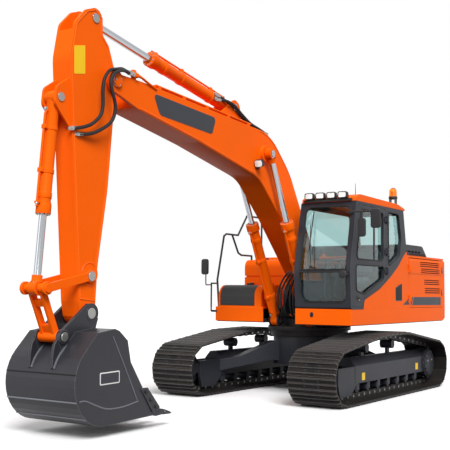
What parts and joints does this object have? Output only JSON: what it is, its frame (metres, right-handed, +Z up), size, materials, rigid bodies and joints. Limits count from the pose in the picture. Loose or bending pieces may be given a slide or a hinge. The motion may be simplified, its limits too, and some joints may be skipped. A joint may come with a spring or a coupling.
{
  "type": "crawler excavator",
  "caption": "Tracked hydraulic excavator with a slewing house, enclosed cab, gooseneck boom, arm and bucket worked by cylinders; digs and loads earth.",
  "frame": {"origin": "on the ground under the swing centre", "axes": "+X forward towards the bucket, +Y to the machine's left, +Z up"},
  "size_m": [9.1151, 3.485, 4.858],
  "materials": {
    "orange_paint": "glossy enamel",
    "charcoal_paint": "satin enamel",
    "track_steel": "worn forged steel",
    "engine_iron": null,
    "clear_glass": "tinted safety glass",
    "seat_trim": "woven cover",
    "black_plastic": "moulded",
    "black_tube": "painted tube",
    "pin_steel": "machined",
    "chrome_rod": "hard chrome",
    "bucket_steel": "satin with bare welds"
  },
  "bodies": {
    "undercarriage": {"car_body": "charcoal_paint", "swing_bearing": "track_steel", "track_frame_left": "charcoal_paint", "track_frame_right": "charcoal_paint", "track_left": "track_steel", "track_right": "track_steel", "front_idlers": "charcoal_paint", "final_drives": "charcoal_paint", "track_rollers": "charcoal_paint", "carrier_rollers": "charcoal_paint"},
    "house": {"main_frame": "charcoal_paint", "side_decks": "orange_paint", "cab_shell": "charcoal_paint", "cab_roof": "orange_paint", "cab_glass": "clear_glass", "operator_seat": "seat_trim", "counterweight": "orange_paint", "lift_sockets": "orange_paint", "left_panel": "orange_paint", "top_deck": "orange_paint", "engine_block": "engine_iron", "tanks": "orange_paint", "toolbox": "orange_paint", "handrails": "black_tube", "mirrors": "black_plastic", "work_lights": "black_plastic", "beacon": "black_plastic", "house_pins": "pin_steel"},
    "cab_door": {"cab_door": "charcoal_paint", "door_glass": "clear_glass"},
    "left_door": {"left_door": "orange_paint"},
    "right_door": {"right_door": "orange_paint"},
    "engine_hood": {"engine_hood": "charcoal_paint"},
    "toolbox_lid": {"toolbox_lid": "black_plastic"},
    "boom": {"boom": "orange_paint", "boom_pipes": "orange_paint", "boom_pins": "pin_steel"},
    "boom_barrels": {"boom_barrels": "orange_paint"},
    "boom_rods": {"boom_rods": "chrome_rod"},
    "arm": {"arm": "orange_paint", "arm_pins": "pin_steel"},
    "arm_barrel": {"arm_barrel": "orange_paint"},
    "arm_rod": {"arm_rod": "chrome_rod"},
    "bucket_barrel": {"bucket_barrel": "orange_paint"},
    "bucket_rod": {"bucket_rod": "chrome_rod"},
    "bucket_levers": {"bucket_levers": "orange_paint"},
    "bucket_link": {"bucket_link": "orange_paint"},
    "bucket": {"bucket": "bucket_steel", "bucket_pins": "pin_steel", "bucket_teeth": "bucket_steel"}
  },
  "joints": [
    {"name": "swing", "type": "hinge", "parent": "undercarriage", "child": "house", "pos_m": [0, 0, 1.11], "axis": [0, 0, 1], "continuous": true},
    {"name": "boom_lift", "type": "hinge", "parent": "house", "child": "boom", "pos_m": [0.023, 0, 1.643], "axis": [0, 1, 0], "range_deg": [-34, 67]},
    {"name": "boom_barrel_pivot", "type": "hinge", "parent": "house", "child": "boom_barrels", "pos_m": [0.566, 0, 1.15], "axis": [0, 1, 0], "range_deg": [-36, 70]},
    {"name": "boom_rod_slide", "type": "slide", "parent": "boom_barrels", "child": "boom_rods", "axis": [0.4483, 0, 0.8939], "range_m": [-0.78, 0.4]},
    {"name": "arm_crowd", "type": "hinge", "parent": "boom", "child": "arm", "pos_m": [5.18895, 0, 4.05192], "axis": [0, 1, 0], "range_deg": [-82, 38]},
    {"name": "arm_barrel_pivot", "type": "hinge", "parent": "boom", "child": "arm_barrel", "pos_m": [2.50224, 0, 4.2412], "axis": [0, 1, 0], "range_deg": [-5, 3]},
    {"name": "arm_rod_slide", "type": "slide", "parent": "arm_barrel", "child": "arm_rod", "axis": [0.9866, 0, 0.1633], "range_m": [-0.925, 0.43]},
    {"name": "bucket_curl", "type": "hinge", "parent": "arm", "child": "bucket", "pos_m": [5.527, 0, 1.3379], "axis": [0, 1, 0], "range_deg": [-85, 89]},
    {"name": "bucket_barrel_pivot", "type": "hinge", "parent": "arm", "child": "bucket_barrel", "pos_m": [6.01637, 0, 3.71965], "axis": [0, 1, 0], "range_deg": [-3, 3]},
    {"name": "bucket_rod_slide", "type": "slide", "parent": "bucket_barrel", "child": "bucket_rod", "axis": [0.0915, 0, -0.9958], "range_m": [-0.5, 0.525]},
    {"name": "lever_pivot", "type": "hinge", "parent": "arm", "child": "bucket_levers", "pos_m": [5.53574, 0, 1.75316], "axis": [0, 1, 0], "range_deg": [-55, 58]},
    {"name": "link_pivot", "type": "hinge", "parent": "bucket", "child": "bucket_link", "pos_m": [5.97, 0, 1.0889], "axis": [0, 1, 0], "range_deg": [-67, 64]},
    {"name": "cab_door_hinge", "type": "hinge", "parent": "house", "child": "cab_door", "pos_m": [-0.011, 1.387, 2], "axis": [0, 0, 1], "range_deg": [0, 170]},
    {"name": "left_door_hinge", "type": "hinge", "parent": "house", "child": "left_door", "pos_m": [-0.975, 1.37, 1.7], "axis": [0, 0, 1], "range_deg": [-100, 0]},
    {"name": "right_door_hinge", "type": "hinge", "parent": "house", "child": "right_door", "pos_m": [-0.975, -1.37, 1.7], "axis": [0, 0, 1], "range_deg": [0, 100]},
    {"name": "hood_hinge", "type": "hinge", "parent": "house", "child": "engine_hood", "pos_m": [-1, 0, 2.271], "axis": [0, 1, 0], "range_deg": [0, 60]},
    {"name": "toolbox_lid_hinge", "type": "hinge", "parent": "house", "child": "toolbox_lid", "pos_m": [0.17, -0.9, 1.741], "axis": [0, -1, 0], "range_deg": [0, 80]}
  ],
  "couplings": [
    {"joint": "boom_barrel_pivot", "follows": "boom_lift", "ratio": 1},
    {"joint": "boom_rod_slide", "follows": "boom_lift", "m_per_rad": -0.66},
    {"joint": "arm_barrel_pivot", "follows": "arm_crowd", "ratio": 0.055},
    {"joint": "arm_rod_slide", "follows": "arm_crowd", "m_per_rad": 0.63},
    {"joint": "bucket_barrel_pivot", "follows": "bucket_curl", "ratio": 0.03},
    {"joint": "bucket_rod_slide", "follows": "bucket_curl", "m_per_rad": 0.335},
    {"joint": "lever_pivot", "follows": "bucket_curl", "ratio": 0.62},
    {"joint": "link_pivot", "follows": "bucket_curl", "ratio": -0.73}
  ]
}
